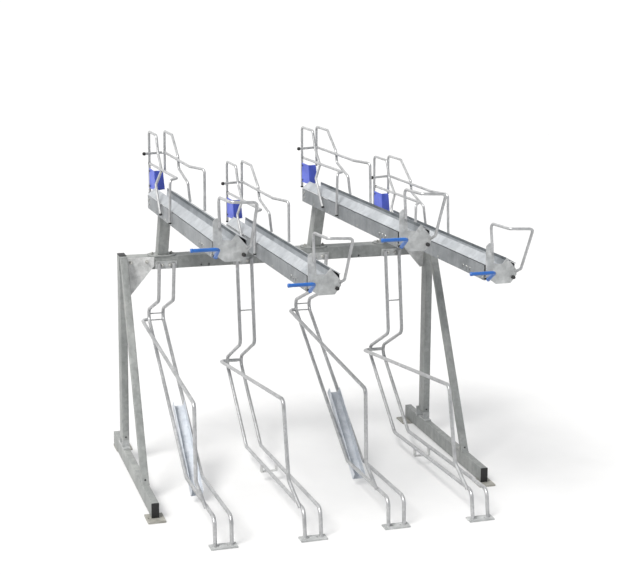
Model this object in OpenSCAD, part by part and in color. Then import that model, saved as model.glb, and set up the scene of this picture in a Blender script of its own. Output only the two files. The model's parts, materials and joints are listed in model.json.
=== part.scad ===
// Two tier bicycle rack: four floor stands below, four sliding trays above.
// X runs along the rack, the loading side is -Y, Z is up and the floor is Z = 0.

/* [Bays] */
// Distance from one bay to the next
bay_pitch = 450; // [420:5:500]
// Sideways offset of a floor stand from the middle of its bay
stand_offset = 15; // [0:1:25]

/* [Side frames] */
// Width of every frame tube
tube_w = 40; // [30:1:50]
// Wall of the frame tubes
tube_wall = 3; // [2:0.5:4]
// Depth of a post, front to back
post_depth = 80; // [60:1:100]
// Height of a post above the floor
post_top = 1200; // [1190:5:1300]
// Height of a post's lower end above its foot
post_lift = 45; // [30:1:60]
// Gap between the outermost bay's edge and the middle of a post
post_margin = 13; // [5:1:40]
// Height of a foot tube
foot_height = 80; // [60:1:90]
// Reach of a foot in front of the posts' middle
foot_front = 914; // [850:2:960]
// Reach of a foot behind the posts' middle
foot_rear = 262; // [220:2:320]
// Depth of a brace
brace_depth = 30; // [20:1:40]
// Distance of a brace's front edge from the posts' middle, at the foot
brace_foot_y = 650; // [560:5:700]
// Wall of a plastic cap's rim beyond its tube
cap_lip = 4; // [2:0.5:8]
// Depth of a cap's plug inside its tube
cap_plug = 25; // [10:1:40]
// Thickness of the ground plates
ground_plate_t = 10; // [6:1:14]
// Width of a front ground plate, along X
ground_plate_w = 92; // [84:1:110]
// Length of a ground plate, along Y
ground_plate_l = 116; // [90:1:130]
// Diameter of every floor anchor hole
anchor_d = 12; // [8:0.5:14]

/* [Cross beam] */
// Height of the beam's section
beam_height = 70; // [60:1:80]
// Depth of the beam's section
beam_depth = 100; // [80:1:110]
// Height of the beam's underside above the floor
beam_z = 1105; // [1080:5:1110]
// Distance of the beam's front face behind the stand tubes' tops
beam_y = 16; // [15:1:20]
// Distance between the two spare bolt holes of the beam, midway between stands
beam_hole_gap = 44; // [30:1:60]
// Leg of a corner gusset plate
gusset_leg = 165; // [120:5:200]
// Thickness of gussets, brackets and other flat steel
plate_t = 6; // [4:0.5:8]

/* [Floor stands] */
// Reach of a floor stand in front of its upper end
stand_reach = 1350; // [1300:5:1400]
// Diameter of a wheel-guide tube
guide_d = 20; // [16:1:22]
// Wall of the bent tubes
guide_wall = 2; // [1.5:0.5:3]
// Distance between the two guide tubes, centre to centre
guide_gap = 84; // [76:1:90]
// Bend radius of the guide tubes, to their middle line
guide_bend = 45; // [35:1:55]
// Bend radius of lean bars, to their middle line
lean_bend = 35; // [28:1:40]
// Sideways reach of a lean bar from its stand's middle
lean_reach = 85; // [80:1:100]
// Diameter of the thin cross rods
rod_d = 8; // [6:1:10]
// Width of a strap below the low tubes
strap_w = 24; // [16:1:32]
// Thickness of a wheel channel's sheet
channel_t = 3; // [2:0.5:4]
// Width of a wheel channel inside
channel_w = 58; // [50:1:60]
// Depth of a wheel channel
channel_d = 46; // [36:1:52]
// Width of a floor plate, along X
floor_plate_w = 136; // [124:2:160]
// Length of a floor plate, along Y
floor_plate_l = 60; // [50:1:80]
// Thickness of a floor plate
floor_plate_t = 8; // [6:0.5:12]
// Distance between a floor plate's two holes
floor_hole_gap = 44; // [38:1:50]

/* [Upper trays] */
// Distance of the tray fronts before the posts' middle
tray_front = 1580; // [1500:10:1620]
// Height of a high tray's groove lip at its front
tray_high_z = 1573; // [1560:1:1600]
// Height of a low tray's groove lip at its front
tray_low_z = 1387; // [1380:1:1420]
// Upward slope of the trays towards the front, in degrees
tray_rise = 1.4; // [1:0.1:1.6]
// Width of a tray over its flanks
tray_w = 162; // [150:1:170]
// Length of a tray behind its end plate
tray_length = 1600; // [1560:5:1640]
// Thickness of tray and rail sheet
sheet_t = 3; // [2:0.5:4]
// Depth of the tyre groove below the notch
groove_depth = 14; // [10:1:18]
// Width of the tyre groove
groove_w = 64; // [56:1:68]
// Depth of a carrier rail
rail_depth = 78; // [70:1:84]
// Length of a carrier rail
rail_length = 1590; // [1550:5:1620]
// Thickness of an end plate
end_plate_t = 5; // [4:0.5:6]
// Diameter of the loops, guide bars and hoops on a tray
loop_d = 14; // [12:1:16]
// Bend radius of the loops, guide bars and hoops
loop_bend = 22; // [18:1:26]
// Diameter of a blue handle
grip_d = 18; // [15:1:22]
// Width of the flange that a tray support stands on
flange_w = 160; // [140:2:170]
// Width of a tray support's tube, along X
support_w = 60; // [50:1:80]
// Depth of a tray support's tube, along Y
support_d = 80; // [60:1:90]
// Forward lean of a tray support for each unit of its height
support_lean = 0.4; // [0:0.05:0.5]
// Diameter of the pivot pins
pin_d = 12; // [8:1:14]
// Wall of the boss around a pivot pin
pin_wall = 4; // [3:0.5:5]
// Gap between an end plate and its rail
rail_gap = 19; // [15:1:24]
// Diameter of the frame bolts
bolt_d = 10; // [8:1:12]

/* [Hidden] */
$fn = 32;

// Overrun of every cut, and the clearances of the moving pieces
cut = 1;
pin_clear = 0.05;
slide_clear = 0.3;
swing_clear = 2;

// A bend is a little fuller than its bar, and each straight reaches into it
bend_swell = 1.02;
bar_overlap_share = 0.1;
// Depth that a welded bar goes into the wall it is welded to
weld = 1;

// Plan of the rack
bay_count = 4;
post_x = bay_count / 2 * bay_pitch + post_margin;
foot_top = ground_plate_t + foot_height;
post_z = foot_top + post_lift;
beam_top = beam_z + beam_height;
post_front = post_depth / 2;
plate_overhang = ground_plate_l * 0.46;
rear_overhang = ground_plate_l * 0.165;
front_hole_x = (ground_plate_w + tube_w) / 4;

// Height of a brace, its lean and its width measured level
brace_rise = post_top - foot_top;
nominal_lean = (brace_foot_y - post_front - brace_depth) / brace_rise;
brace_level = brace_depth * sqrt(1 + nominal_lean * nominal_lean);
brace_lean = (brace_foot_y - post_front - brace_level) / brace_rise;

// Outlines in the side view as [Y, Z], in shares of stand_reach and stand_top
stand_top = beam_z + beam_height / 2;
high_guide_share = [[0, 1], [0.0215, 0.8035], [0.294, 0.677], [-0.507, 0.108], [-0.994, 0.133]];
low_guide_share = [[0, 1], [-0.054, 0.577], [0.209, 0.4175], [-0.155, 0.078], [-1.0045, 0.131]];
high_end_share = -1;
low_end_share = -1.022;
high_lean_share = [[-0.809, 0.5765], [-0.828, 0.231], [-0.881, 0.1274]];
low_lean_share = [[-0.833, 0.57], [-0.911, 0.23], [-0.976, 0.1285]];
// Places round the rearmost bend, from its start to its end, of the rods and lean bars
high_rod_share = [0.5, 0.9];
high_lean_start_share = 0.85;
low_lean_start_share = 0.5;
// Place of the low stands' rod down their first straight
low_rod_share = 0.606;
strap_share = -0.4;
strap_low_share = 0.0482;
// Ends of a wheel channel's floor
channel_share = [[-0.2075, 0.342], [-0.552, 0.034]];

// Outlines of a gusset in shares of gusset_leg, as [X, Z] from the corner of post and beam
gusset_share = [[0, 0], [1, 0], [1, -0.3], [0.19, -1.27], [0, -1.24]];
gusset_side_share = [1, 0.7];
flange_share = [[-0.5, -0.16], [-0.34, -0.5], [0.34, -0.5], [0.5, -0.16], [0.5, 0.16], [0.34, 0.5],
    [-0.34, 0.5], [-0.5, 0.16]];
flange_d = beam_depth * 1.1;
head_share = 0.64;
head_d_share = 1.9;

// Places on a tray as [X, Y, Z]: X right, Y back from its front, Z up from the notch in its
// end plate. The guide bars and hoops are in shares of tray_w, tray_length and tray_w.
left_bar_share = [[-0.585, 0.578, -0.36], [-0.55, 0.582, 1.012], [-0.247, 0.625, 1.006],
    [-0.34, 1.048, 1.006]];
right_bar_share = [[0.475, 0.544, 0.03], [0.525, 0.565, 1.327], [0.185, 0.634, 1.358],
    [0.216, 1.0625, 1.358], [-0.537, 1.034, 1.358]];
left_hoop_share = [[-0.585, 0.734, -0.31], [-0.56, 0.822, 0.55], [-0.27, 0.868, 0.97],
    [-0.259, 0.93, 1.45], [-0.272, 0.956, 2.07], [-0.272, 1.09, 2.07], [-0.272, 1.09, -0.08]];
right_hoop_share = [[0.43, 0.744, 0.05], [0.37, 0.75, 0.68], [0.259, 0.84, 1.05],
    [0.259, 0.853, 1.45], [0.272, 0.956, 2.07], [0.272, 1.09, 2.07], [0.272, 1.09, 0.65]];
// Lugs join the bars that pass outside a tray to its edge
lug_share = [left_bar_share[0][1], 0.758];
// The front loop and the handle are in shares of tray_w
loop_share = [[-0.32, -0.035, 0.37], [-0.3, 0.15, 1.23], [-0.247, -1.056, 1.253], [0.512, -1.06, 1.216],
    [0.525, -0.247, -0.123], [0.47, -0.03, -0.24]];
handle_share = [[-0.44, -0.01, -0.44], [-0.5, -0.66, -0.105], [-1.3, -0.66, -0.105]];
// Outline of an end plate as [X, Z], in shares of tray_w
end_plate_share = [[-0.5, 0.57], [-0.41, 0.655], [-0.27, 0.655], [-0.245, 0.02], [0.03, 0], [0.18, 0.18],
    [0.495, -0.19], [0.5, -0.345], [0.31, -0.595], [-0.17, -0.595], [-0.5, -0.36]];
// Plan of a tyre shield in shares of [tray_w, tray_length], and its foot and top in shares of tray_w
shield_share = [[-0.272, 1.09], [-0.235, 1.016], [0.16, 1.04]];
shield_height_share = [0.08, 0.8];

// Section of a tray: the groove lies left of the middle
groove_left = -tray_w * 0.247;
groove_right = groove_left + groove_w;
flank_high = tray_w * 0.21;
flank_low = tray_w * 0.18;
flare = tray_w * 0.03;
tray_start = end_plate_t;
rail_start = end_plate_t + rail_gap;
rail_top = -(sheet_t + swing_clear);
rail_bottom = rail_top - rail_depth + sheet_t;
rail_back = rail_start + rail_length;

// The tilt hinge at the front of a rail
boss_d = pin_d + 2 * pin_wall;
pin_z = rail_bottom + sheet_t + swing_clear + boss_d / 2;
pin_y = rail_start + boss_d / 2;
carriage_top = -groove_depth - sheet_t - slide_clear;
carriage_l = boss_d * 7;
carriage_w = groove_w - 2 * swing_clear;
pin_head = sheet_t + swing_clear;

// Shift that puts the origin under the middle of the whole rack
rack_front = tray_front + loop_d / 2 - loop_share[3][1] * tray_w * cos(tray_rise)
    - loop_share[3][2] * tray_w * sin(tray_rise);
rack_back = max(foot_rear + rear_overhang, bend_centre(1)[0] + guide_bend + guide_d * bend_swell / 2);
rack_shift = (rack_front - rack_back) / 2;

function is_high(bay) = bay % 2 == 1;
function bay_x(bay) = (bay - (bay_count + 1) / 2) * bay_pitch;
function stand_x(bay) = bay_x(bay) + stand_offset;
function tray_z(bay) = is_high(bay) ? tray_high_z : tray_low_z;
function scaled(share, size) = [for (i = [0:len(size) - 1]) share[i] * size[i]];
function scaled_all(shares, size) = [for (share = shares) scaled(share, size)];
function tray_size() = [tray_w, tray_length, tray_w];
function side_point(x, share) = [x, share[0] * stand_reach, share[1] * stand_top];
function guide_shares(bay) = is_high(bay) ? high_guide_share : low_guide_share;
function guide_end(bay) = (is_high(bay) ? high_end_share : low_end_share) * stand_reach;
function lean_shares(bay) = is_high(bay) ? high_lean_share : low_lean_share;
function lean_start(bay) = bend_point(bay, is_high(bay) ? high_lean_start_share : low_lean_start_share);
function flat_points(bay) = [for (share = guide_shares(bay)) scaled(share, [stand_reach, stand_top])];
// Centre of a stand's rearmost bend and places on its middle line, as [Y, Z]
function bend_centre(bay) =
    let (p = flat_points(bay), into = unit(p[2] - p[1]), out = unit(p[3] - p[2]))
    p[2] - into * (guide_bend * tan(acos(into * out) / 2))
        + unit(out - into * (into * out)) * guide_bend;
function bend_point(bay, share) =
    let (p = flat_points(bay), into = unit(p[2] - p[1]), out = unit(p[3] - p[2]),
        turn = acos(into * out), inward = unit(out - into * (into * out)))
    bend_centre(bay) + guide_bend * (into * sin(turn * share) - inward * cos(turn * share));
function rod_points(bay) =
    let (p = flat_points(bay))
    is_high(bay) ? [for (share = high_rod_share) bend_point(bay, share)]
        : [p[0] + (p[1] - p[0]) * low_rod_share];
function guide_points(bay, side) =
    let (x = stand_x(bay) + side * guide_gap / 2)
    concat([for (share = guide_shares(bay)) side_point(x, share)],
        [[x, guide_end(bay), floor_plate_t - weld]]);
function unit(v) = v / norm(v);

// Polygon of folded sheet: the outline on its right-hand side is thickened by t
function right_of(v) = [v[1], -v[0]];
function fold_normal(path, i) =
    let (before = right_of(unit(path[max(i, 1)] - path[max(i, 1) - 1])),
        after = right_of(unit(path[min(i + 1, len(path) - 1)] - path[min(i, len(path) - 2)])))
    (before + after) / (1 + before * after);
function sheet(path, t) =
    concat(path, [for (i = [len(path) - 1:-1:0]) path[i] + t * fold_normal(path, i)]);

// A straight round bar between two points
module bar(start, end, d) {
    run = end - start;
    translate(start)
        rotate([0, acos(run[2] / norm(run)), atan2(run[1], run[0])])
            cylinder(h = norm(run), d = d);
}

// A round bar bent at each inner point of a path, with one bend radius
module bent_bar(points, d, bend) {
    last = len(points) - 1;
    turns = [for (i = [0:last])
        i == 0 || i == last ? 0
            : acos(unit(points[i] - points[i - 1]) * unit(points[i + 1] - points[i]))];
    trims = [for (t = turns) bend * tan(t / 2)];
    laps = [for (t = turns) t == 0 ? 0 : d * bar_overlap_share];
    for (i = [0:last - 1]) {
        along = unit(points[i + 1] - points[i]);
        bar(points[i] + along * (trims[i] - laps[i]),
            points[i + 1] - along * (trims[i + 1] - laps[i + 1]), d);
    }
    for (i = [1:1:last - 1]) {
        into = unit(points[i] - points[i - 1]);
        out = unit(points[i + 1] - points[i]);
        inward = unit(out - into * (into * out));
        side = cross(-inward, into);
        centre = points[i] - into * trims[i] + inward * bend;
        multmatrix([[-inward[0], into[0], side[0], centre[0]],
                [-inward[1], into[1], side[1], centre[1]],
                [-inward[2], into[2], side[2], centre[2]],
                [0, 0, 0, 1]])
            rotate_extrude(angle = turns[i]) translate([bend, 0]) circle(d = d * bend_swell);
    }
}

// A bent tube: the bar less its bore
module bent_tube(points, bend) {
    difference() {
        bent_bar(points, guide_d, bend);
        bent_bar(points, guide_d - 2 * guide_wall, bend);
    }
}

// A box given by its lowest and highest corners
module block(low, high) {
    translate(low) cube(high - low);
}

// A square tube along an axis, open at both ends
module box_tube_z(low, high, wall) {
    difference() {
        block(low, high);
        block(low + [wall, wall, -cut], high + [-wall, -wall, cut]);
    }
}

module box_tube_x(low, high, wall) {
    difference() {
        block(low, high);
        block(low + [-cut, wall, wall], high + [cut, -wall, -wall]);
    }
}

module box_tube_y(low, high, wall) {
    difference() {
        block(low, high);
        block(low + [wall, -cut, wall], high + [-wall, cut, -wall]);
    }
}

// A hexagon head standing on a face
module bolt_head(d) {
    cylinder(h = d * head_share, d = d * head_d_share, $fn = 6);
}

// The whole rack stands with its middle over the origin
module placed() {
    translate([0, rack_shift, 0]) children();
}

// A tray's own place, sloping up to the front
module on_tray(bay) {
    placed()
        translate([bay_x(bay), -tray_front, tray_z(bay)])
            rotate([-tray_rise, 0, 0]) children();
}

// A section in X and Z, drawn out along Y
module along_y(start, end) {
    translate([0, end, 0]) rotate([90, 0, 0]) linear_extrude(end - start) children();
}

// A section in Y and Z, drawn out along X
module along_x(start, end) {
    translate([start, 0, 0]) rotate([90, 0, 90]) linear_extrude(end - start) children();
}

// The two side frames
module foot(side) {
    color("darkgray") placed()
        translate([side * post_x, 0, ground_plate_t])
            box_tube_y([-tube_w / 2, -foot_front, 0], [tube_w / 2, foot_rear, foot_height], tube_wall);
}

module post(side) {
    color("darkgray") placed()
        translate([side * post_x, 0, 0])
            box_tube_z([-tube_w / 2, -post_front, post_z], [tube_w / 2, post_front, post_top], tube_wall);
}

function brace_outline(inset, overrun) =
    let (low = foot_top - overrun, high = post_top + overrun,
        front = -brace_foot_y - overrun * brace_lean, run = (brace_rise + 2 * overrun) * brace_lean,
        level = inset * brace_level / brace_depth)
    [[front + level, low], [front + brace_level - level, low],
        [front + run + brace_level - level, high], [front + run + level, high]];

module brace(side) {
    color("darkgray") placed()
        difference() {
            along_x(side * post_x - tube_w / 2, side * post_x + tube_w / 2)
                polygon(brace_outline(0, 0));
            along_x(side * post_x - tube_w / 2 + tube_wall, side * post_x + tube_w / 2 - tube_wall)
                polygon(brace_outline(tube_wall, cut));
        }
}

module cross_beam() {
    color("darkgray") placed()
        difference() {
            box_tube_x([-post_x + tube_w / 2, beam_y, beam_z],
                [post_x - tube_w / 2, beam_y + beam_depth, beam_top], tube_wall);
            for (bay = [1:bay_count - 1]) for (side = [-1, 1])
                translate([stand_x(bay) + bay_pitch / 2 + side * beam_hole_gap / 2,
                        beam_y + tube_wall + cut, beam_z + beam_height * 0.17])
                    rotate([90, 0, 0]) cylinder(h = tube_wall + 2 * cut, d = bolt_d);
        }
}

module anchor_hole(x, y) {
    translate([x, y, -cut]) cylinder(h = ground_plate_t + 2 * cut, d = anchor_d);
}

// Front plates are centred under the feet, rear ones reach inwards
module ground_plates() {
    color("silver") placed()
        for (side = [-1, 1]) {
            front = -foot_front - plate_overhang;
            back = foot_rear + rear_overhang;
            edge = post_x + tube_w / 2;
            difference() {
                translate([side * post_x, 0, 0])
                    block([-ground_plate_w / 2, front, 0],
                        [ground_plate_w / 2, front + ground_plate_l, ground_plate_t]);
                for (x = [-front_hole_x, front_hole_x])
                    anchor_hole(side * post_x + x, front + ground_plate_l / 2);
            }
            difference() {
                translate([side * (edge - ground_plate_w / 2), 0, 0])
                    block([-ground_plate_w / 2, back - ground_plate_l, 0],
                        [ground_plate_w / 2, back, ground_plate_t]);
                for (y = [-ground_plate_l / 4, ground_plate_l / 4])
                    anchor_hole(side * (edge - (ground_plate_w + tube_w) / 2),
                        back - ground_plate_l / 2 + y);
            }
        }
}

// An upright plate behind each post, on a flange that lies on the foot
module post_brackets() {
    color("darkgray") placed()
        for (side = [-1, 1]) mirror([side > 0 ? 1 : 0, 0, 0])
            translate([-post_x, post_front, foot_top]) {
                block([-tube_w / 2, 0, 0], [tube_w * 0.82, plate_t, post_lift + tube_w * 0.45]);
                block([-tube_w / 2, plate_t, 0], [tube_w / 2, tube_w * 1.2, plate_t]);
                block([-tube_w / 2, -post_depth - brace_depth, 0], [tube_w / 2, 0, plate_t]);
                block([-tube_w / 2, -post_depth, plate_t], [tube_w / 2, plate_t - post_depth, post_lift]);
            }
}

module gusset_plates() {
    color("silver") placed()
        for (side = [0, 1]) mirror([side, 0, 0])
            translate([-post_x + tube_w / 2, 0, beam_top])
                along_y(beam_y - plate_t, beam_y)
                    polygon(scaled_all(gusset_share, [1, 1] * gusset_leg * gusset_side_share[side]));
}

// Plastic caps: a lid with a plug inside the tube
module cap(outer, plug) {
    translate([-outer[0] / 2, -outer[1] / 2, 0]) cube([outer[0], outer[1], cap_lip]);
    translate([-plug[0] / 2, -plug[1] / 2, -cap_plug]) cube([plug[0], plug[1], cap_plug]);
}

module end_caps() {
    bore = [tube_w - 2 * tube_wall, foot_height - 2 * tube_wall];
    color("dimgray") placed()
        for (side = [-1, 1]) translate([side * post_x, 0, 0]) {
            translate([0, 0, post_top])
                cap([tube_w, post_depth], [tube_w - 2 * tube_wall, post_depth - 2 * tube_wall]);
            translate([0, -foot_front, ground_plate_t + foot_height / 2])
                rotate([90, 0, 0]) cap([tube_w, foot_height], bore);
            translate([0, foot_rear, ground_plate_t + foot_height / 2])
                rotate([-90, 0, 0]) cap([tube_w, foot_height], bore);
        }
}

module frame_bolts() {
    color("silver") placed()
        for (side = [0, 1]) mirror([side, 0, 0]) {
            leg = gusset_leg * gusset_side_share[side];
            translate([-post_x, post_front + plate_t, post_z + tube_w * 0.25])
                rotate([-90, 0, 0]) bolt_head(bolt_d);
            for (share = [0.2, 0.75])
                translate([-post_x + tube_w / 2 + leg * share, beam_y - plate_t,
                        beam_top - leg * 0.15])
                    rotate([90, 0, 0]) bolt_head(bolt_d);
            translate([-post_x, -brace_foot_y + brace_level + tube_w, foot_top]) bolt_head(bolt_d);
        }
}

// The floor stands
module stand_tubes(bay) {
    color("lightsteelblue") placed()
        for (side = [-1, 1]) bent_tube(guide_points(bay, side), guide_bend);
}

// A lean bar leaves its stand sideways, runs forward, drops and returns to the left tube
module stand_lean_bar(bay) {
    shares = lean_shares(bay);
    x = stand_x(bay) - lean_reach;
    wall_x = stand_x(bay) - guide_gap / 2 - guide_d / 2 + weld;
    start = is_high(bay) ? wall_x : stand_x(bay) + guide_gap / 2 - guide_d / 2 + weld;
    from = lean_start(bay);
    color("lightsteelblue") placed()
        bent_bar([[start, from[0], from[1]], [x, from[0], from[1]], side_point(x, shares[0]),
            side_point(x, shares[1]), side_point(wall_x, shares[2])], guide_d, lean_bend);
}

module stand_brackets() {
    width = guide_gap + 2 * guide_d;
    color("silver") placed()
        for (bay = [1:bay_count]) translate([stand_x(bay), beam_y - plate_t, beam_z])
            difference() {
                block([-width / 2, 0, 0], [width / 2, plate_t, beam_height * 0.62]);
                for (x = [-guide_gap / 4, guide_gap / 4])
                    translate([x, plate_t + cut, beam_height * 0.3])
                        rotate([90, 0, 0]) cylinder(h = plate_t + 2 * cut, d = bolt_d);
            }
}

module floor_plates() {
    color("silver") placed()
        for (bay = [1:bay_count]) translate([stand_x(bay), guide_end(bay), 0])
            difference() {
                block([-floor_plate_w / 2, -floor_plate_l / 2, 0],
                    [floor_plate_w / 2, floor_plate_l / 2, floor_plate_t]);
                for (x = [-floor_hole_gap / 2, floor_hole_gap / 2])
                    translate([x, 0, -cut]) cylinder(h = floor_plate_t + 2 * cut, d = anchor_d);
            }
}

// Thin rods across each stand, between its tubes
module cross_rods() {
    inner = (guide_gap - guide_d) / 2 + weld;
    color("lightsteelblue") placed()
        for (bay = [1:bay_count]) for (p = rod_points(bay))
            translate([stand_x(bay) - inner, p[0], p[1]])
                rotate([0, 90, 0]) cylinder(h = 2 * inner, d = rod_d);
}

// A folded channel for the front wheel, between the tubes of a high stand
module wheel_channel(bay) {
    run = scaled(channel_share[1] - channel_share[0], [stand_reach, stand_top]);
    long = norm(run);
    color("silver") placed()
        translate(side_point(stand_x(bay), channel_share[0]))
            rotate([atan2(-run[1], -run[0]), 0, 0])
                translate([0, -long, 0])
                    difference() {
                        block([-channel_w / 2 - channel_t, 0, 0], [channel_w / 2 + channel_t, long, channel_d]);
                        block([-channel_w / 2, -cut, channel_t],
                            [channel_w / 2, long + cut, channel_d + cut]);
                        translate([0, long + cut, channel_d])
                            rotate([90, 0, 0]) cylinder(h = channel_d, d = channel_w);
                        translate([-channel_w, long / 2, channel_d / 2])
                            rotate([0, 90, 0]) cylinder(h = channel_w, d = bolt_d);
                    }
}

// A strap below the tubes of each low stand
module tube_straps() {
    half = guide_gap / 2;
    color("silver") placed()
        for (bay = [2:2:bay_count]) translate([stand_x(bay), strap_share * stand_reach, 0]) {
            low = strap_low_share * stand_top;
            high = low_tube_z(strap_share) - guide_d / 2 + weld;
            block([-half - guide_d / 4, -strap_w / 2, low], [half + guide_d / 4, strap_w / 2, low + channel_t]);
            for (x = [-half, half])
                translate([x, 0, 0])
                    block([-guide_d / 4, -strap_w / 2, low], [guide_d / 4, strap_w / 2, high]);
        }
}

// Height of a low stand's tubes between their last two bends
function low_tube_z(share) =
    let (from = low_guide_share[3], to = low_guide_share[4])
    stand_top * (from[1] + (to[1] - from[1]) * (share - from[0]) / (to[0] - from[0]));

// The upper tier
support_y = beam_y + beam_depth / 2;

function support_outline(bay, inset, overrun) =
    let (low = beam_top + plate_t - overrun, high = tray_z(bay) + overrun,
        half = support_d / 2 - inset * sqrt(1 + support_lean * support_lean),
        back = support_y + overrun * support_lean, front = back - (high - low) * support_lean)
    [[back - half, low], [back + half, low], [front + half, high], [front - half, high]];

module tray_supports() {
    color("darkgray")
        for (bay = [1:bay_count]) {
            placed() translate([bay_x(bay), support_y, beam_top])
                linear_extrude(plate_t) polygon(scaled_all(flange_share, [flange_w, flange_d]));
            difference() {
                placed() along_x(bay_x(bay) - support_w / 2, bay_x(bay) + support_w / 2)
                    polygon(support_outline(bay, 0, 0));
                placed()
                    along_x(bay_x(bay) - support_w / 2 + tube_wall, bay_x(bay) + support_w / 2 - tube_wall)
                        polygon(support_outline(bay, tube_wall, cut));
                on_tray(bay)
                    block([-support_w, rail_start, rail_bottom],
                        [support_w, rail_back + support_w, rail_depth]);
            }
        }
}

module support_bolts() {
    x = (flange_w + support_w) / 4;
    color("silver") placed()
        for (bay = [1:bay_count]) for (side = [-1, 1])
            translate([bay_x(bay) + side * x, support_y, beam_top + plate_t]) bolt_head(bolt_d);
}

// A fixed U-shaped rail that carries its tray, with the bores of the tilt hinge at its front
module rail(bay) {
    half = tray_w / 2;
    roller_shares = [0.125, 0.151, 0.177];
    color("darkgray") on_tray(bay) {
        difference() {
            block([-half, rail_start, rail_bottom], [half, rail_back, rail_top]);
            block([-half + sheet_t, rail_start - cut, rail_bottom + sheet_t],
                [half - sheet_t, rail_back + cut, rail_top + cut]);
            translate([-half - cut, pin_y, pin_z])
                rotate([0, 90, 0]) cylinder(h = tray_w + 2 * cut, d = pin_d + 2 * pin_clear);
        }
        for (share = roller_shares)
            translate([-half, share * tray_length, pin_z + pin_d])
                rotate([0, -90, 0]) bolt_head(bolt_d * 0.8);
    }
}

// The carriage turns on its pin in the rail and guides the sliding tray
module carriage(bay) {
    reach = tray_w / 2 + pin_head;
    color("silver") on_tray(bay) {
        translate([groove_left + swing_clear, pin_y - boss_d, 0])
            block([0, 0, pin_z + boss_d / 4], [carriage_w, carriage_l, carriage_top]);
        translate([groove_left + swing_clear, pin_y, pin_z])
            rotate([0, 90, 0]) cylinder(h = carriage_w, d = boss_d);
        translate([-reach, pin_y, pin_z])
            rotate([0, 90, 0]) cylinder(h = 2 * reach, d = pin_d);
    }
}

module tray(bay) {
    section = [[-tray_w / 2, 0], [groove_left, flank_high], [groove_left, -groove_depth],
        [groove_right, -groove_depth], [groove_right + flare, flank_low], [tray_w / 2, 0]];
    color("silver") on_tray(bay)
        along_y(tray_start, tray_start + tray_length) polygon(sheet(section, sheet_t));
}

module end_plate(bay) {
    color("silver") on_tray(bay)
        along_y(0, end_plate_t) polygon(scaled_all(end_plate_share, [tray_w, tray_w]));
}

module front_loop(bay) {
    color("silver") on_tray(bay)
        bent_bar(scaled_all(loop_share, [tray_w, tray_w, tray_w]), loop_d, loop_bend);
}

module handle(bay) {
    color("royalblue") on_tray(bay)
        bent_bar(scaled_all(handle_share, [tray_w, tray_w, tray_w]), grip_d, grip_d);
}

module wheel_guides(bay) {
    color("silver") on_tray(bay) {
        bent_bar(scaled_all(left_bar_share, tray_size()), loop_d, loop_bend);
        bent_bar(scaled_all(right_bar_share, tray_size()), loop_d, loop_bend);
        bent_bar(scaled_all(left_hoop_share, tray_size()), loop_d, loop_bend);
        bent_bar(scaled_all(right_hoop_share, tray_size()), loop_d, loop_bend);
        for (share = lug_share) translate([-tray_w / 2, share * tray_length, 0])
            block([-loop_d * 0.6, -loop_d / 2, -sheet_t / 2], [weld, loop_d / 2, sheet_t / 2]);
    }
}

module wheel_shields(bay) {
    low = shield_height_share[0] * tray_w;
    high = shield_height_share[1] * tray_w;
    color("royalblue") on_tray(bay) translate([0, 0, low])
        linear_extrude(high - low) polygon(sheet(scaled_all(shield_share, [tray_w, tray_length]), sheet_t));
}

foot(-1);  // left_foot
foot(1);  // right_foot
post(-1);  // left_post
post(1);  // right_post
brace(-1);  // left_brace
brace(1);  // right_brace
cross_beam();
ground_plates();
post_brackets();
gusset_plates();
end_caps();
frame_bolts();
stand_brackets();
stand_tubes(1);  // stand_1_tubes
stand_tubes(2);  // stand_2_tubes
stand_tubes(3);  // stand_3_tubes
stand_tubes(4);  // stand_4_tubes
stand_lean_bar(1);  // stand_1_lean_bar
stand_lean_bar(2);  // stand_2_lean_bar
stand_lean_bar(3);  // stand_3_lean_bar
stand_lean_bar(4);  // stand_4_lean_bar
floor_plates();
cross_rods();
wheel_channel(1);  // wheel_channel_1
wheel_channel(3);  // wheel_channel_3
tube_straps();
tray_supports();
support_bolts();
rail(1);  // rail_1
rail(2);  // rail_2
rail(3);  // rail_3
rail(4);  // rail_4
carriage(1);  // carriage_1
carriage(2);  // carriage_2
carriage(3);  // carriage_3
carriage(4);  // carriage_4
tray(1);  // tray_1
tray(2);  // tray_2
tray(3);  // tray_3
tray(4);  // tray_4
end_plate(1);  // end_plate_1
end_plate(2);  // end_plate_2
end_plate(3);  // end_plate_3
end_plate(4);  // end_plate_4
front_loop(1);  // front_loop_1
front_loop(2);  // front_loop_2
front_loop(3);  // front_loop_3
front_loop(4);  // front_loop_4
handle(1);  // handle_1
handle(2);  // handle_2
handle(3);  // handle_3
handle(4);  // handle_4
wheel_guides(1);  // wheel_guides_1
wheel_guides(2);  // wheel_guides_2
wheel_guides(3);  // wheel_guides_3
wheel_guides(4);  // wheel_guides_4
wheel_shields(1);  // wheel_shields_1
wheel_shields(2);  // wheel_shields_2
wheel_shields(3);  // wheel_shields_3
wheel_shields(4);  // wheel_shields_4
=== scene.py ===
import bpy, bmesh, json, math
from mathutils import Matrix, Vector


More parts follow.
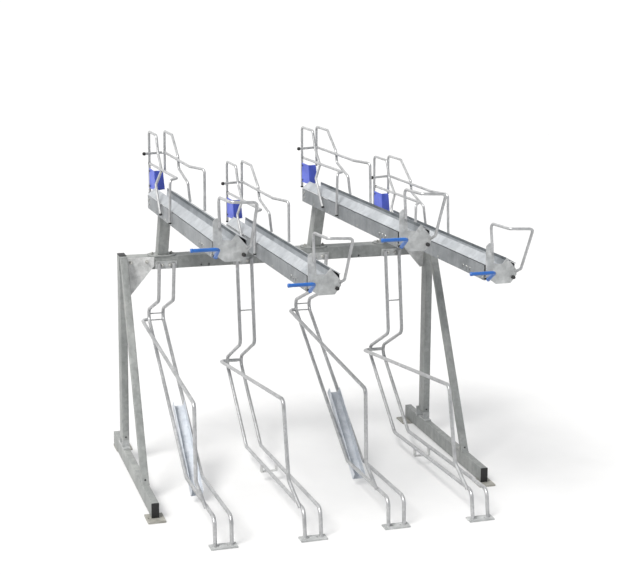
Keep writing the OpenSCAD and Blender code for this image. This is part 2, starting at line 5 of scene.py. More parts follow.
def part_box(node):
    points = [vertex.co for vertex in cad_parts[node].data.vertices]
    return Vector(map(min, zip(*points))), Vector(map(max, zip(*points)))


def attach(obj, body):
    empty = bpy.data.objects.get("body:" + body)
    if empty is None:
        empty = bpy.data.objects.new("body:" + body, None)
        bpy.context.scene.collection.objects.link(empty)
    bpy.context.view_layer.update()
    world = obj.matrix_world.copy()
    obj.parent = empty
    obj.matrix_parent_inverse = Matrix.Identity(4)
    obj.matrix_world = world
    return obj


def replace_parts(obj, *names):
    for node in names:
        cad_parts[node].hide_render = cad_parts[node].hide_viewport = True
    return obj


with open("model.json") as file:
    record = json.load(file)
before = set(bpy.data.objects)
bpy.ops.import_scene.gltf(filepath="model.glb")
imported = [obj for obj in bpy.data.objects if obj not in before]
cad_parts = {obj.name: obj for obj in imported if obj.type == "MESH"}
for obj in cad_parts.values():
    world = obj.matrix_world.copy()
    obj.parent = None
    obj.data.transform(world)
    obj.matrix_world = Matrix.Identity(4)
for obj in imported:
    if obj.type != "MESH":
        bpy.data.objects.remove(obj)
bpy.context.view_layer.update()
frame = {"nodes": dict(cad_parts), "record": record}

NODES = frame["nodes"]
BAYS = (1, 2, 3, 4)
SIDES = (-1, 1)
X, Y, Z = Vector((1, 0, 0)), Vector((0, 1, 0)), Vector((0, 0, 1))

# Sizes and places in metres. The posts' centres lie at y = SHIFT; heights are above the floor.
HALF_W, HALF_D = 0.020, 0.040
FOOT_FRONT, FOOT_REAR, FOOT_LOW, FOOT_TOP = 0.914, 0.262, 0.010, 0.090
POST_X, POST_LOW, POST_TOP = 0.913, 0.135, 1.200
POST_INNER = POST_X - HALF_W
BRACE_FRONT, BRACE_D = 0.650, 0.030
SUPPORT_Y, SUPPORT_LEAN, FLANGE_LOW, FLANGE_TOP = 0.066, 0.4, 1.1751, 1.181
SUPPORT_W, SUPPORT_D, FLANGE = 0.030, 0.040, (0.080, 0.055, 0.0480)
TUBE_CORNER, BRACE_CORNER = 0.0045, 0.0035
CAP, CAP_GAP = 0.004, 0.0002
BAY_PITCH, STAND_OFFSET = 0.45, 0.015
GUIDE_GAP, GUIDE_D, GUIDE_TOP, FLOOR_PLATE_TOP = 0.084, 0.020, 1.1395, 0.008
HIGH_REACH, LOW_REACH = 1.350, 1.022 * 1.350
TRAY_W, TRAY_L, TRAY_FRONT, HIGH_TRAY, LOW_TRAY = 0.162, 1.6, 1.58, 1.573, 1.387
RISE = math.radians(1.4)
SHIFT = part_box("left_foot")[0].y + FOOT_FRONT


def bay_x(b):
    return (b - 2.5) * BAY_PITCH


def stand_x(b):
    return bay_x(b) + STAND_OFFSET


def tray_matrix(b):
    """From a tray's own frame (centre line, front end, tray floor) to the rack's."""
    place = Vector((bay_x(b), SHIFT - TRAY_FRONT, HIGH_TRAY if b % 2 else LOW_TRAY))
    return Matrix.Translation(place) @ Matrix.Rotation(-RISE, 4, "X")


def of_tray(x, y, z, dx=0.0, dy=0.0, dz=0.0):
    """A point of a tray from shares of its width and length, and an offset in metres."""
    return x * TRAY_W + dx, y * TRAY_L + dy, z * TRAY_W + dz


# ---------------------------------------------------------------- materials
def new_material(name):
    m = bpy.data.materials.new(name)
    m.use_nodes = True
    nt = m.node_tree
    co = nt.nodes.new("ShaderNodeTexCoord").outputs["Object"]
    return m, nt, nt.nodes["Principled BSDF"], co


def put(node, values):
    for socket, value in values.items():
        node.inputs[socket].default_value = value


def grey(v):
    return v, v, v


def ramp(nt, source, places, colours):
    r = nt.nodes.new("ShaderNodeValToRGB")
    while len(r.color_ramp.elements) < len(places):
        r.color_ramp.elements.new(0.5)
    for e, place, colour in zip(r.color_ramp.elements, places, colours):
        e.position = place
        e.color = (*colour, 1)
    nt.links.new(source, r.inputs[0])
    return r.outputs[0]


def noise(nt, vector, scale, detail=3.0, rough=0.55, w=0.0):
    n = nt.nodes.new("ShaderNodeTexNoise")
    n.noise_dimensions = "4D"
    put(n, {"W": w, "Scale": scale, "Detail": detail, "Roughness": rough})
    nt.links.new(vector, n.inputs["Vector"])
    return n.outputs["Fac"]


def overlay(nt, strength, a, b):
    m = nt.nodes.new("ShaderNodeMix")
    m.data_type = "RGBA"
    m.blend_type = "OVERLAY"
    m.inputs[0].default_value = strength
    nt.links.new(a, m.inputs[6])
    nt.links.new(b, m.inputs[7])
    return m.outputs[2]


def multiply_add(nt, value, factor, addend):
    m = nt.nodes.new("ShaderNodeMath")
    m.operation = "MULTIPLY_ADD"
    nt.links.new(value, m.inputs[0])
    m.inputs[1].default_value = factor
    nt.links.new(addend, m.inputs[2])
    return m.outputs[0]


def set_roughness(nt, bsdf, value, low, high, rough):
    r = nt.nodes.new("ShaderNodeMapRange")
    put(r, {"From Min": low, "From Max": high, "To Min": rough[0], "To Max": rough[1]})
    nt.links.new(value, r.inputs["Value"])
    nt.links.new(r.outputs[0], bsdf.inputs["Roughness"])


def set_bump(nt, bsdf, height, strength, distance):
    b = nt.nodes.new("ShaderNodeBump")
    put(b, {"Strength": strength, "Distance": distance})
    nt.links.new(height, b.inputs["Height"])
    nt.links.new(b.outputs[0], bsdf.inputs["Normal"])


def galvanised(name, tones, metallic, rough, patch, spangle, streak, w):
    """Hot-dip zinc: broad patches, a crystal spangle, faint run-off streaks and a fine grain."""
    m, nt, bsdf, co = new_material(name)
    base = ramp(nt, noise(nt, co, patch, 4.0, 0.6, w), (0.30, 0.52, 0.72), tones)
    crystals = nt.nodes.new("ShaderNodeTexVoronoi")
    put(crystals, {"Scale": spangle})
    nt.links.new(co, crystals.inputs["Vector"])
    shade = nt.nodes.new("ShaderNodeRGBToBW")
    nt.links.new(crystals.outputs["Color"], shade.inputs[0])
    flakes = ramp(nt, shade.outputs[0], (0.15, 0.85), (grey(0.42), grey(0.60)))
    base = overlay(nt, 0.55, base, flakes)
    stretch = nt.nodes.new("ShaderNodeMapping")
    put(stretch, {"Scale": (26, 26, 2.2)})
    nt.links.new(co, stretch.inputs["Vector"])
    runs = noise(nt, stretch.outputs[0], 1.0, 2.0, 0.5, w + 3)
    streaks = ramp(nt, runs, (0.38, 0.62), (grey(0.40), grey(0.58)))
    nt.links.new(overlay(nt, streak, base, streaks), bsdf.inputs["Base Color"])
    put(bsdf, {"Metallic": metallic})
    fine = noise(nt, co, 240.0, 2.0, 0.6, w + 5)
    set_roughness(nt, bsdf, multiply_add(nt, shade.outputs[0], 0.55, fine), 0.3, 1.1, rough)
    lumps = multiply_add(nt, noise(nt, co, 60.0, 3.0, 0.6, w + 7), 1.6, fine)
    set_bump(nt, bsdf, lumps, 0.25, 0.0006)
    return m


def plastic(name, tones, rough, grain, bump_mm, coat):
    """Moulded plastic or rubber: slight mottling, a fine grain and worn, duller patches."""
    m, nt, bsdf, co = new_material(name)
    base = ramp(nt, noise(nt, co, 14.0), (0.35, 0.65), tones)
    nt.links.new(base, bsdf.inputs["Base Color"])
    set_roughness(nt, bsdf, noise(nt, co, 35.0, 4.0, 0.6, 2.0), 0.3, 0.7, rough)
    set_bump(nt, bsdf, noise(nt, co, grain, 2.0), 0.4, bump_mm / 1000)
    put(bsdf, {"Coat Weight": coat})
    return m


# Three tones, metallic, roughness range, scale of the patches and of the spangle, streaks, seed
ZINC = {
    "frame_steel": (((0.20, 0.21, 0.206), (0.258, 0.268, 0.262), (0.325, 0.332, 0.322)),
                    0.2, (0.45, 0.68), 5.0, 60.0, 0.45, 0.0),
    "plate_zinc": (((0.40, 0.405, 0.40), (0.57, 0.575, 0.57), (0.74, 0.74, 0.735)),
                   0.25, (0.38, 0.62), 26.0, 55.0, 0.2, 11.0),
    "tray_zinc": (((0.30, 0.32, 0.34), (0.385, 0.405, 0.425), (0.47, 0.49, 0.51)),
                  0.3, (0.34, 0.52), 6.0, 45.0, 0.2, 17.0),
    "rail_zinc": (((0.158, 0.170, 0.178), (0.214, 0.226, 0.237), (0.278, 0.290, 0.301)),
                  0.25, (0.42, 0.62), 7.0, 50.0, 0.3, 19.0),
    # painted shade: a darker sheet for the lip on the groove's right wall, standing for the shade
    # on that wall
    "painted_shade_zinc": (((0.10, 0.115, 0.125), (0.15, 0.165, 0.175), (0.20, 0.215, 0.225)),
                  0.25, (0.42, 0.62), 7.0, 50.0, 0.3, 31.0),
    "tube_zinc": (((0.34, 0.345, 0.35), (0.41, 0.415, 0.42), (0.48, 0.485, 0.49)),
                  0.5, (0.26, 0.40), 18.0, 90.0, 0.1, 23.0),
    "end_zinc": (((0.29, 0.30, 0.30), (0.39, 0.40, 0.40), (0.50, 0.51, 0.51)),
                 0.25, (0.40, 0.62), 22.0, 55.0, 0.2, 43.0),
    "base_zinc": (((0.22, 0.215, 0.19), (0.31, 0.305, 0.275), (0.42, 0.415, 0.385)),
                  0.15, (0.45, 0.66), 22.0, 55.0, 0.2, 47.0),
    "sheet_zinc": (((0.46, 0.49, 0.53), (0.55, 0.58, 0.62), (0.63, 0.66, 0.70)),
                   0.15, (0.34, 0.52), 14.0, 60.0, 0.15, 37.0),
    "bolt_dark": (((0.03, 0.03, 0.032), (0.05, 0.05, 0.052), (0.08, 0.08, 0.078)),
                  0.5, (0.40, 0.60), 60.0, 160.0, 0.1, 41.0),
    "bolt_zinc": (((0.34, 0.34, 0.32), (0.48, 0.48, 0.46), (0.62, 0.62, 0.58)),
                  0.75, (0.28, 0.45), 60.0, 160.0, 0.1, 29.0),
}
# Two tones, roughness range, scale of the grain, its depth in mm, coat
PLASTIC = {
    "black_plastic": (((0.006, 0.006, 0.0065), (0.013, 0.013, 0.014)), (0.50, 0.66), 600, 0.15,
                      0.0),
    "black_rubber": (((0.010, 0.010, 0.010), (0.020, 0.020, 0.020)), (0.68, 0.85), 450, 0.2, 0.0),
    "blue_plastic": (((0.012, 0.090, 0.34), (0.020, 0.125, 0.43)), (0.30, 0.45), 500, 0.1, 0.15),
    "blue_sheet": (((0.045, 0.080, 0.48), (0.060, 0.105, 0.58)), (0.34, 0.50), 420, 0.12, 0.1),
}
MAT = {name: galvanised(name, *row) for name, row in ZINC.items()}
MAT.update({name: plastic(name, *row) for name, row in PLASTIC.items()})


# ---------------------------------------------------------------- mesh helpers
def mesh_object(name, bm, material, body, matrix=None):
    me = bpy.data.meshes.new(name)
    bm.normal_update()
    bm.to_mesh(me)
    bm.free()
    if matrix is not None:
        me.transform(matrix)
    o = bpy.data.objects.new(name, me)
    bpy.context.scene.collection.objects.link(o)
    me.materials.append(MAT[material])
    for p in me.polygons:
        p.use_smooth = True
    me.set_sharp_from_angle(angle=math.radians(38))
    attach(o, body)
    return o


def bevel_edges(o, width, segments, angle):
    edge = o.modifiers.new("edge", "BEVEL")
    edge.width = width
    edge.segments = segments
    edge.limit_method = "ANGLE"
    edge.angle_limit = math.radians(angle)
    return edge


def axes(direction):
    """Three directions at right angles, the last of them the one given."""
    z = Vector(direction).normalized()
    x = z.orthogonal().normalized()
    return x, z.cross(x), z


def ring(bm, centre, x, y, radius, count, turn=0.0):
    """Points round centre in the plane of x and y."""
    return [bm.verts.new(centre + (x * math.cos(t) + y * math.sin(t)) * radius)
            for t in (turn + 2 * math.pi * i / count for i in range(count))]


def skin(bm, rings):
    """Quads from each ring to the next, and a face at either end."""
    for a, b in zip(rings, rings[1:]):
        for i in range(len(a)):
            j = (i + 1) % len(a)
            bm.faces.new((a[i], a[j], b[j], b[i]))
    bm.faces.new(rings[0][::-1])
    bm.faces.new(rings[-1])


def add_lathe(bm, profile, origin, direction, segments=28):
    """A turned piece: profile is [(distance along direction, radius), ...]."""
    x, y, z = axes(direction)
    skin(bm, [ring(bm, Vector(origin) + z * h, x, y, r, segments) for h, r in profile])


def add_hex(bm, origin, direction, d, height, turn):
    """Chamfered hexagon head or nut, flat to flat d, standing on origin."""
    x, y, z = axes(direction)
    radius = d / 2 / math.cos(math.pi / 6)
    profile = ((0, 0.99), (0.06, 1), (0.82, 1), (1, 0.86))
    skin(bm, [ring(bm, Vector(origin) + z * height * h, x, y, radius * r, 6, turn)
              for h, r in profile])


WASHER = [(0, 1.02), (0.05, 1.08), (0.16, 1.08), (0.2, 1.0)]
THREAD = [(0.8, 0.5)]
for i in range(4):
    THREAD += [(0.86 + 0.09 * i, 0.5), (0.905 + 0.09 * i, 0.44)]
THREAD += [(1.26, 0.5), (1.34, 0.42)]


def add_bolt(bm, origin, direction, d=0.010, turn=0.3):
    """Washer, nut and the end of the bolt standing out of it."""
    z, o = Vector(direction).normalized(), Vector(origin)
    add_lathe(bm, [(h * d, r * d) for h, r in WASHER], o, z)
    add_hex(bm, o + z * d * 0.2, z, d * 1.6, d * 0.62, turn)
    add_lathe(bm, [(h * d, r * d) for h, r in THREAD], o, z, 20)


def add_box(bm, low, high, bevel=0.0016, segments=3):
    middle, size = (Vector(low) + Vector(high)) / 2, Vector(high) - Vector(low)
    verts = bmesh.ops.create_cube(bm, size=1.0)["verts"]
    for v in verts:
        v.co = middle + v.co * size
    edges = list({e for v in verts for e in v.link_edges})
    bmesh.ops.bevel(bm, geom=edges, offset=bevel, segments=segments, affect="EDGES", profile=0.7)


def fillet_path(points, bend, steps):
    """Points of a path whose inner corners are rounded with one radius."""
    pts = [Vector(p) for p in points]
    out = [pts[0]]
    for a, p, b in zip(pts, pts[1:], pts[2:]):
        u, v = (p - a).normalized(), (b - p).normalized()
        turn = u.angle(v)
        inward = (v - u * u.dot(v)).normalized()
        centre = p - u * bend * math.tan(turn / 2) + inward * bend
        n = max(3, int(steps * turn / 1.5))
        for t in (turn * i / n for i in range(n + 1)):
            out.append(centre - inward * bend * math.cos(t) + u * bend * math.sin(t))
    return out + [pts[-1]]


def add_tube(bm, pts, radius, segments):
    """A round bar swept along points, with no twist."""
    rings = []
    x = None
    for i, p in enumerate(pts):
        ahead = (pts[min(i + 1, len(pts) - 1)] - p).normalized()
        behind = (p - pts[max(i - 1, 0)]).normalized()
        t = (ahead + behind).normalized()
        if x is None:
            x = t.orthogonal().normalized()
        x = (x - t * x.dot(t)).normalized()
        rings.append(ring(bm, p, x, t.cross(x), radius, segments))
    skin(bm, rings)


def add_weld(bm, centre, axis, radius, bead, segments=36):
    """A rippled weld bead round a bar where it meets a wall."""
    x, y, z = axes(axis)
    rings = []
    for t in (2 * math.pi * i / segments for i in range(segments)):
        out = x * math.cos(t) + y * math.sin(t)
        r = bead * (1.0 + 0.22 * math.sin(9 * t) + 0.1 * math.sin(23 * t + 1))
        rings.append(ring(bm, Vector(centre) + out * radius, out * 0.55, z, r, 8))
    for a, b in zip(rings, rings[1:] + rings[:1]):
        for i in range(8):
            j = (i + 1) % 8
            bm.faces.new((a[i], b[i], b[j], a[j]))


def add_bead(bm, a, b, bead, step=0.0028):
    """A straight, rippled weld bead from a to b."""
    a, b = Vector(a), Vector(b)
    x, y, z = axes(b - a)
    n = max(3, int((b - a).length / step))
    rings = []
    for i in range(n + 1):
        ripple = 0.86 + 0.14 * math.cos(2.4 * i) + 0.06 * math.sin(0.7 * i)
        r = bead * (0.25 if i in (0, n) else ripple)
        rings.append(ring(bm, a + (b - a) * (i / n), x, y, r, 8))
    skin(bm, rings)


def round_rect(hx, hy, r, n=5):
    """Corner-rounded rectangle as points in its own plane."""
    out = []
    for cx, cy, start in ((hx - r, hy - r, 0), (r - hx, hy - r, 90),
                          (r - hx, r - hy, 180), (hx - r, r - hy, 270)):
        for t in (math.radians(start + 90 * i / n) for i in range(n + 1)):
            out.append((cx + r * math.cos(t), cy + r * math.sin(t)))
    return out


def add_prism(bm, outline, base, ux, uy, along, plane, normal):
    """An outline swept from base along a direction until it meets a plane."""
    base, along, plane = Vector(base), Vector(along), Vector(plane)
    low, high = [], []
    for x, y in outline:
        p = base + ux * x + uy * y
        low.append(bm.verts.new(p))
        high.append(bm.verts.new(p + along * ((plane - p).dot(normal) / along.dot(normal))))
    skin(bm, [low, high])
    bmesh.ops.recalc_face_normals(bm, faces=bm.faces)


# ---------------------------------------------------------------- CAD nodes
FINISH = {"wheel_channel": "sheet_zinc", "rail": "rail_zinc", "end_plate": "end_zinc",
          "ground_plates": "base_zinc", "floor_plates": "end_zinc", "post_brackets": "end_zinc",
          "stand_brackets": "end_zinc"}
for n, o in NODES.items():
    slot = next(s["material_slot"] for s in frame["record"]["subparts"] if s["node"] == n)
    for s in o.material_slots:
        s.material = MAT[FINISH.get(n) or FINISH.get(n.rsplit("_", 1)[0], slot)]

BEVELS = {"cross_beam": 0.0013, "gusset_plates": 0.0010, "stand_brackets": 0.0010,
          "floor_plates": 0.0013, "ground_plates": 0.0015, "post_brackets": 0.0012,
          "tube_straps": 0.0007, "wheel_channel_1": 0.0007, "wheel_channel_3": 0.0007}
for b in BAYS:
    BEVELS.update({f"rail_{b}": 0.0008, f"tray_{b}": 0.0008, f"end_plate_{b}": 0.0012})
for n, width in BEVELS.items():
    flat = NODES[n].modifiers.new("flat", "DECIMATE")
    flat.decimate_type = "DISSOLVE"
    flat.angle_limit = math.radians(0.4)
    bevel_edges(NODES[n], width, 2, 50).harden_normals = True

# ---------------------------------------------------------------- frame tubes
BRACE_RUN, BRACE_RISE = BRACE_FRONT - HALF_D, POST_TOP - FOOT_TOP
LEVEL = BRACE_D * math.hypot(1, (BRACE_RUN - BRACE_D) / BRACE_RISE)  # the brace's level depth
LEAN = (BRACE_RUN - LEVEL) / BRACE_RISE
SECTION = round_rect(HALF_W, HALF_D, TUBE_CORNER)
for side, name in zip(SIDES, ("left", "right")):
    x = side * POST_X
    bm = bmesh.new()
    add_prism(bm, SECTION, (x, SHIFT - FOOT_FRONT, (FOOT_LOW + FOOT_TOP) / 2), X, Z, Y,
              (0, SHIFT + FOOT_REAR, 0), Y)
    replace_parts(mesh_object(f"{name}_foot_tube", bm, "frame_steel", "rack"), f"{name}_foot")
    bm = bmesh.new()
    add_prism(bm, SECTION, (x, SHIFT, POST_LOW), X, Y, Z, (0, 0, POST_TOP), Z)
    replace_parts(mesh_object(f"{name}_post_tube", bm, "frame_steel", "rack"), f"{name}_post")
    bm = bmesh.new()
    add_prism(bm, round_rect(HALF_W, LEVEL / 2, BRACE_CORNER),
              (x, SHIFT - BRACE_FRONT + LEVEL / 2, FOOT_TOP), X, Y, (0, LEAN, 1),
              (0, 0, POST_TOP), Z)
    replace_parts(mesh_object(f"{name}_brace_tube", bm, "frame_steel", "rack"), f"{name}_brace")

UNDER_RAIL = Vector((0, 1.5, -0.0799))
bm = bmesh.new()
for b in BAYS:
    M = tray_matrix(b)
    x, y = bay_x(b), SHIFT + SUPPORT_Y
    add_prism(bm, round_rect(SUPPORT_W, SUPPORT_D, TUBE_CORNER), (x, y, FLANGE_TOP), X, Y,
              (0, -SUPPORT_LEAN, 1), M @ UNDER_RAIL, M.to_3x3() @ Z)
    add_prism(bm, round_rect(*FLANGE, 10), (x, y, FLANGE_LOW), X, Y, Z, (0, 0, FLANGE_TOP), Z)
supports = mesh_object("support_tubes", bm, "frame_steel", "rack")
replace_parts(supports, "tray_supports")
bevel_edges(supports, 0.0008, 2, 50)

# ---------------------------------------------------------------- welds
# Radii of the beads, and how far the straight ones stop short of the corners
FRAME_BEAD, BRACE_HEAD_BEAD, FLANGE_BEAD = 0.003, 0.0022, 0.0028
PLATE_BEAD, BRACKET_BEAD = 0.0024, 0.0012
SHORT, BEAM_SHORT = 0.001, 0.002
BRACE_HEAD_LOW = 1.118
bm = bmesh.new()
beam_lo, beam_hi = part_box("cross_beam")
for side in SIDES:
    x, inner = side * POST_X, side * POST_INNER
    brace = SHIFT - BRACE_FRONT
    for edge in (x - HALF_W, x + HALF_W):
        add_bead(bm, (edge, brace, FOOT_TOP), (edge, brace + LEVEL, FOOT_TOP), FRAME_BEAD)
        add_bead(bm, (edge, SHIFT - HALF_D, BRACE_HEAD_LOW),
                 (edge, SHIFT - HALF_D, POST_TOP - BEAM_SHORT), BRACE_HEAD_BEAD)
    for y in (brace, brace + LEVEL):
        add_bead(bm, (x - HALF_W + SHORT, y, FOOT_TOP), (x + HALF_W - SHORT, y, FOOT_TOP),
                 FRAME_BEAD)
    add_bead(bm, (inner, beam_lo.y, beam_lo.z + BEAM_SHORT),
             (inner, beam_lo.y, beam_hi.z - BEAM_SHORT), FRAME_BEAD)
    add_bead(bm, (inner, beam_lo.y + BEAM_SHORT, beam_lo.z),
             (inner, SHIFT + HALF_D - BEAM_SHORT, beam_lo.z), FRAME_BEAD)
for b in BAYS:
    x, y, z = bay_x(b), SHIFT + SUPPORT_Y, FLANGE_TOP
    for edge in (x - SUPPORT_W, x + SUPPORT_W):
        add_bead(bm, (edge, y - SUPPORT_D + BEAM_SHORT, z), (edge, y + SUPPORT_D - BEAM_SHORT, z),
                 FLANGE_BEAD)
    for edge in (y - SUPPORT_D, y + SUPPORT_D):
        add_bead(bm, (x - SUPPORT_W + BEAM_SHORT, edge, z), (x + SUPPORT_W - BEAM_SHORT, edge, z),
                 FLANGE_BEAD)
mesh_object("frame_welds", bm, "frame_steel", "rack")

bm = bmesh.new()
for b in BAYS:
    reach = HIGH_REACH if b % 2 else LOW_REACH
    for s in SIDES:
        x = stand_x(b) + s * GUIDE_GAP / 2
        add_weld(bm, (x, SHIFT - reach, FLOOR_PLATE_TOP), Z, GUIDE_D / 2, PLATE_BEAD)
        add_weld(bm, (x, SHIFT, GUIDE_TOP), Z, GUIDE_D / 2 - SHORT, BRACKET_BEAD)
mesh_object("stand_welds", bm, "tube_zinc", "rack")

# ---------------------------------------------------------------- bolts
GUSSET_LEGS, GUSSET_SHARES, GUSSET_DROP = (0.165, 0.1155), (0.2, 0.75), 0.15
POST_BOLT, BRACE_BOLT_Y = (0.046, 0.145), 0.576
FLANGE_BOLT_X, BRACKET_BOLT, BRACKET_BOLT_D = 0.055, (0.010, 1.126), 0.008
bm = bmesh.new()
gusset_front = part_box("gusset_plates")[0].y
for side, leg in zip(SIDES, GUSSET_LEGS):
    for share in GUSSET_SHARES:
        add_bolt(bm, (side * (POST_INNER - leg * share), gusset_front,
                      beam_hi.z - leg * GUSSET_DROP), -Y)
    add_bolt(bm, (side * POST_X, SHIFT + POST_BOLT[0], POST_BOLT[1]), Y)
    add_bolt(bm, (side * POST_X, SHIFT - BRACE_BOLT_Y, FOOT_TOP), Z)
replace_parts(mesh_object("frame_bolt_heads", bm, "bolt_zinc", "rack"), "frame_bolts")

# Small dark heads on the front faces of the posts and braces
HEAD = [(-0.0005, 0.0052), (0.0012, 0.0052), (0.0024, 0.0042), (0.0030, 0.0020)]
POST_HEADS, HEAD_RISE = (0.153, 1.178), 0.024
bm = bmesh.new()
for side in SIDES:
    for z in POST_HEADS:
        add_lathe(bm, HEAD, (side * POST_X, SHIFT - HALF_D, z), -Y, 24)
    add_lathe(bm, HEAD, (side * POST_X, SHIFT - BRACE_FRONT + HEAD_RISE * LEAN,
                         FOOT_TOP + HEAD_RISE), (0, -1, LEAN), 24)
mesh_object("front_bolt_heads", bm, "bolt_dark", "rack")

bm = bmesh.new()
for b in BAYS:
    for s in SIDES:
        add_bolt(bm, (bay_x(b) + s * FLANGE_BOLT_X, SHIFT + SUPPORT_Y, FLANGE_TOP), Z)
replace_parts(mesh_object("support_bolt_heads", bm, "bolt_zinc", "rack"), "support_bolts")

bm = bmesh.new()
for b in BAYS:
    for s in SIDES:
        add_bolt(bm, (stand_x(b) + s * GUIDE_GAP / 4, SHIFT + BRACKET_BOLT[0], BRACKET_BOLT[1]),
                 -Y, BRACKET_BOLT_D, 0.1 + b)
mesh_object("bracket_bolts", bm, "bolt_zinc", "rack")

# ---------------------------------------------------------------- end caps
bm = bmesh.new()
for x in (side * POST_X for side in SIDES):
    add_box(bm, (x - HALF_W, SHIFT - HALF_D, POST_TOP + CAP_GAP),
            (x + HALF_W, SHIFT + HALF_D, POST_TOP + CAP))
    for y0, y1 in ((-FOOT_FRONT - CAP, -FOOT_FRONT - CAP_GAP),
                   (FOOT_REAR + CAP_GAP, FOOT_REAR + CAP)):
        add_box(bm, (x - HALF_W, SHIFT + y0, FOOT_LOW + CAP_GAP),
                (x + HALF_W, SHIFT + y1, FOOT_TOP))
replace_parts(mesh_object("tube_caps", bm, "black_plastic", "rack"), "end_caps")

# ---------------------------------------------------------------- tray fittings
ROD = [of_tray(-0.44, 0, -0.44, dy=-0.004), of_tray(-0.5, 0, -0.105, dy=-0.66 * TRAY_W),
       of_tray(-1.29, 0, -0.105, dy=-0.66 * TRAY_W)]
ROD_BEND, ROD_R = 0.020, 0.0088
COLLAR = [(0, 0.0090), (0.001, 0.0098), (0.0025, 0.0098), (0.0035, 0.0090)]
GRIP_END = [(-0.012, 0.0092), (-0.011, 0.0098), (-0.001, 0.0098), (0.0006, 0.0088),
            (0.0014, 0.0060)]
BUFFER = [(0, 0.0075), (0.002, 0.0088), (0.010, 0.0094), (0.017, 0.0084), (0.022, 0.0060),
          (0.024, 0.003)]
BALL = [(0, 0.0078), (0.001, 0.0092), (0.006, 0.0098), (0.011, 0.0092), (0.0145, 0.0070),
        (0.0165, 0.0035)]
PLUG = [(0, 0.0070), (0.0008, 0.0082), (0.006, 0.0082), (0.0078, 0.0070), (0.0084, 0.0040)]
RIVET = [(0, 0.0052), (0.0012, 0.0052), (0.0026, 0.0040), (0.0034, 0.0020)]
PIN = [(0, 0.0088), (0.0006, 0.0092), (0.0014, 0.0088)]
LIP = [(0.0269, 0.0155), (0.0284, 0.0292), (0.0296, 0.0288), (0.0281, 0.0150)]
LIP_ENDS = (0.0052, 1.6048)
BAR_R, LEFT_BEAD, RIGHT_BEAD = 0.0070, 0.0016, 0.0018
# Places along and below the tray floor on the rail's sides, and sizes of the hexagon heads
END_HEADS, END_HEAD = ((1.590, -0.034), (1.566, -0.052), (1.566, -0.022)), (0.010, 0.004)
PIN_Y, PIN_Z = (0.200, 0.241, 0.284), -0.053
SIDE_HEADS_Y, SIDE_HEADS_Z, SIDE_HEAD = (0.62, 1.10, 1.38), -0.066, (0.008, 0.003)

# The wheel shield: a folded sheet with slanted edges, its corners as shares and offsets
LEG, FOLD, TIP, HIGH, LOW = (-0.272, 1.09), (-0.235, 1.016), (0.16, 1.04), 0.79, 0.09
SHEET = 0.003
SHIELD_FRONT = [of_tray(*LEG, HIGH, -0.0032), of_tray(*FOLD, HIGH, -0.003, -SHEET, -0.002),
                of_tray(*TIP, HIGH, -0.016, -0.004, -0.006),
                of_tray(*TIP, HIGH, -0.009, -0.0035, -0.016), of_tray(*TIP, LOW, 0, -SHEET),
                of_tray(*FOLD, LOW, 0.004, -SHEET), of_tray(*LEG, LOW, -0.0032)]
SHIELD_BACK = [(x + 0.0006, y + SHEET, z) for x, y, z in SHIELD_FRONT]
SHIELD_BACK[0], SHIELD_BACK[-1] = of_tray(*LEG, HIGH), of_tray(*LEG, LOW)
SHIELD_FACES = ((0, 1, 5, 6), (1, 2, 3), (1, 3, 4, 5))

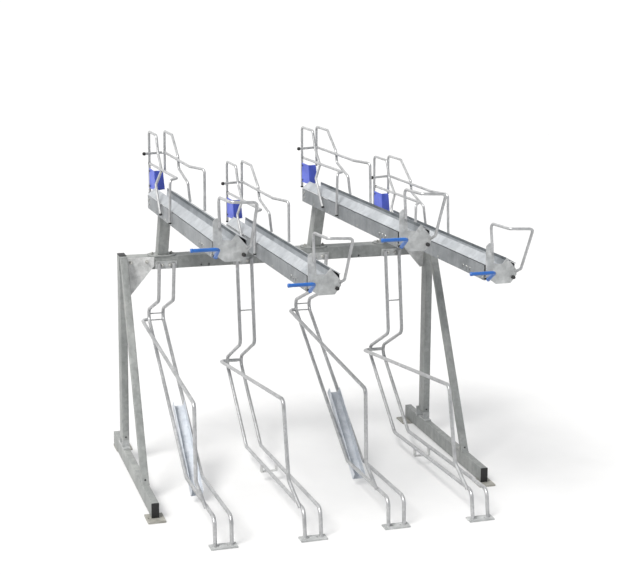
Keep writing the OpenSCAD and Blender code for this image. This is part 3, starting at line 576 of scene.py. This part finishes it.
for b in BAYS:
    M = tray_matrix(b)
    body = f"slider_{b}"
    bm = bmesh.new()
    add_tube(bm, fillet_path(ROD, ROD_BEND, 16), ROD_R, 24)
    add_lathe(bm, COLLAR, of_tray(-0.44, 0, -0.44, dy=-0.0046), (-0.03, -1, 0.5), 32)
    add_lathe(bm, GRIP_END, ROD[-1], (-1, 0, 0), 32)
    h = mesh_object(f"handle_grip_{b}", bm, "blue_plastic", body, matrix=M)
    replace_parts(h, f"handle_{b}")

    bm = bmesh.new()
    front, back = ([bm.verts.new(v) for v in corners] for corners in (SHIELD_FRONT, SHIELD_BACK))
    for face in SHIELD_FACES:
        bm.faces.new([front[i] for i in face])
    for face in SHIELD_FACES:
        bm.faces.new([back[i] for i in reversed(face)])
    for i in range(len(front)):
        j = (i + 1) % len(front)
        bm.faces.new((front[i], back[i], back[j], front[j]))
    bmesh.ops.recalc_face_normals(bm, faces=bm.faces)
    shield = mesh_object(f"tyre_shield_{b}", bm, "blue_sheet", body, matrix=M)
    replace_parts(shield, f"wheel_shields_{b}")
    bevel_edges(shield, 0.0009, 3, 12)

    bm = bmesh.new()
    add_lathe(bm, BUFFER, of_tray(0.37, 0, -0.41, dy=-0.0002), (0, -1, 0), 32)
    add_lathe(bm, BALL, of_tray(-0.537, 1.034, 1.358, dx=0.004), (-1, -0.06, 0))
    add_lathe(bm, PLUG, of_tray(-0.585, 0.734, -0.31, dz=0.003), (0, -0.6, -1))
    add_lathe(bm, PLUG, of_tray(-0.585, 0.578, -0.36, dz=0.003), (0, 0, -1))
    add_lathe(bm, PLUG, of_tray(-0.34, 1.048, 1.006, dy=-0.003), (-0.02, 1, 0))
    add_lathe(bm, PLUG, of_tray(*LEG, -0.08, dz=0.003), (0, 0, -1))
    for z in (0.70, 0.18):
        add_lathe(bm, RIVET, of_tray(LEG[0], 1.078, z, dx=-0.0025), (-1, 0, 0), 20)
    mesh_object(f"rubber_ends_{b}", bm, "black_rubber", body, matrix=M)

    # The folded lip along the top of the groove's right wall gets a darker sheet: painted shade on
    # that wall
    bm = bmesh.new()
    skin(bm, [[bm.verts.new((x, y, z)) for x, z in LIP] for y in LIP_ENDS])
    bmesh.ops.recalc_face_normals(bm, faces=bm.faces)
    mesh_object(f"painted_shade_lip_{b}", bm, "painted_shade_zinc", body, matrix=M)

    bm = bmesh.new()
    add_weld(bm, of_tray(-0.32, 0, 0.40, dy=-0.035 * TRAY_W + 0.0042), (0.02, 0.18, 1), BAR_R,
             LEFT_BEAD)
    for y in (0.578, 0.758):
        add_bead(bm, of_tray(-0.5, y, 0, 0, -BAR_R, 0.0012), of_tray(-0.5, y, 0, 0, BAR_R, 0.0012),
                 LEFT_BEAD)
    add_weld(bm, of_tray(0.43, 0.744, 0.075), (-0.2, 0, 1), BAR_R, RIGHT_BEAD)
    add_weld(bm, of_tray(0.475, 0.544, 0.045), (0.05, 0.1, 1), BAR_R, RIGHT_BEAD)
    mesh_object(f"tray_welds_{b}", bm, "tube_zinc", body, matrix=M)

    bm = bmesh.new()
    half = TRAY_W / 2
    for y, z in END_HEADS:
        add_hex(bm, (-half, y, z), -X, *END_HEAD, 0.2 + y)
    for y in PIN_Y:
        add_lathe(bm, PIN, (-half, y, PIN_Z), -X, 24)
    for y in SIDE_HEADS_Y:
        for s in SIDES:
            add_hex(bm, (s * half, y, SIDE_HEADS_Z), X * s, *SIDE_HEAD, y)
    mesh_object(f"rail_bolts_{b}", bm, "bolt_zinc", "rack", matrix=M)

# ---------------------------------------------------------------- floor and light
bm = bmesh.new()
bmesh.ops.create_grid(bm, x_segments=1, y_segments=1, size=14)
me = bpy.data.meshes.new("floor")
bm.to_mesh(me)
bm.free()
floor = bpy.data.objects.new("floor", me)
bpy.context.scene.collection.objects.link(floor)
paint, nt, bsdf, co = new_material("floor_paint")
nt.links.new(ramp(nt, noise(nt, co, 3.0), (0.3, 0.7), (grey(0.40), grey(0.43))),
             bsdf.inputs["Base Color"])
put(bsdf, {"Emission Color": (1, 1, 1, 1), "Emission Strength": 0.36, "Roughness": 0.9,
           "Specular IOR Level": 0.1})
me.materials.append(paint)

scene = bpy.context.scene
world = bpy.data.worlds.new("studio")
scene.world = world
world.use_nodes = True
nt = world.node_tree
split = nt.nodes.new("ShaderNodeSeparateXYZ")
nt.links.new(nt.nodes.new("ShaderNodeTexCoord").outputs["Generated"], split.inputs[0])
# White behind the rack, a dimmer room in front of it, so the tubes keep a dark side
room = ramp(nt, split.outputs["Y"], (0.05, 0.30), ((0.36, 0.37, 0.39), grey(1.03)))
nt.links.new(room, nt.nodes["Background"].inputs["Color"])


def add_light(name, kind, energy, colour, direction):
    data = bpy.data.lights.new(name, kind)
    data.energy = energy
    data.color = colour
    o = bpy.data.objects.new(name, data)
    scene.collection.objects.link(o)
    o.rotation_mode = "QUATERNION"
    o.rotation_quaternion = Vector(direction).to_track_quat("-Z", "Y")
    return o


sun = add_light("key", "SUN", 4.3, (1.0, 0.985, 0.96), (0.60, 0.42, -0.95))
sun.data.angle = math.radians(26)
FILL = Vector((4.2, -3.6, 2.2))
fill = add_light("fill", "AREA", 40, (0.96, 0.98, 1.0), Vector((0, 0.2, 0.8)) - FILL)
fill.location = FILL
fill.data.shape = "RECTANGLE"
fill.data.size = fill.data.size_y = 3.0

# ---------------------------------------------------------------- camera
CAMERA = Vector((-2.2082, -7.8747, 2.8665))
YAW, PITCH, ROLL = math.radians(17.897), math.radians(-10.100), math.radians(0.544)
FOCAL_PX, WIDTH_PX, SENSOR = 1447.8, 634, 36
cam_data = bpy.data.cameras.new("camera")
cam = bpy.data.objects.new("camera", cam_data)
scene.collection.objects.link(cam)
scene.camera = cam
ahead = Vector((math.sin(YAW) * math.cos(PITCH), math.cos(YAW) * math.cos(PITCH),
                math.sin(PITCH)))
right = Vector((math.cos(YAW), -math.sin(YAW), 0))
up = right.cross(ahead)
rolled = (right * math.cos(ROLL) + up * math.sin(ROLL),
          up * math.cos(ROLL) - right * math.sin(ROLL), -ahead)
cam.matrix_world = Matrix.Translation(CAMERA + Y * SHIFT) @ Matrix(rolled).transposed().to_4x4()
cam_data.sensor_width = SENSOR
cam_data.lens = FOCAL_PX / WIDTH_PX * SENSOR
cam_data.shift_x = -0.0289
cam_data.shift_y = -0.12
cam_data.clip_end = 60

scene.view_settings.view_transform = "Standard"
scene.view_settings.look = "None"
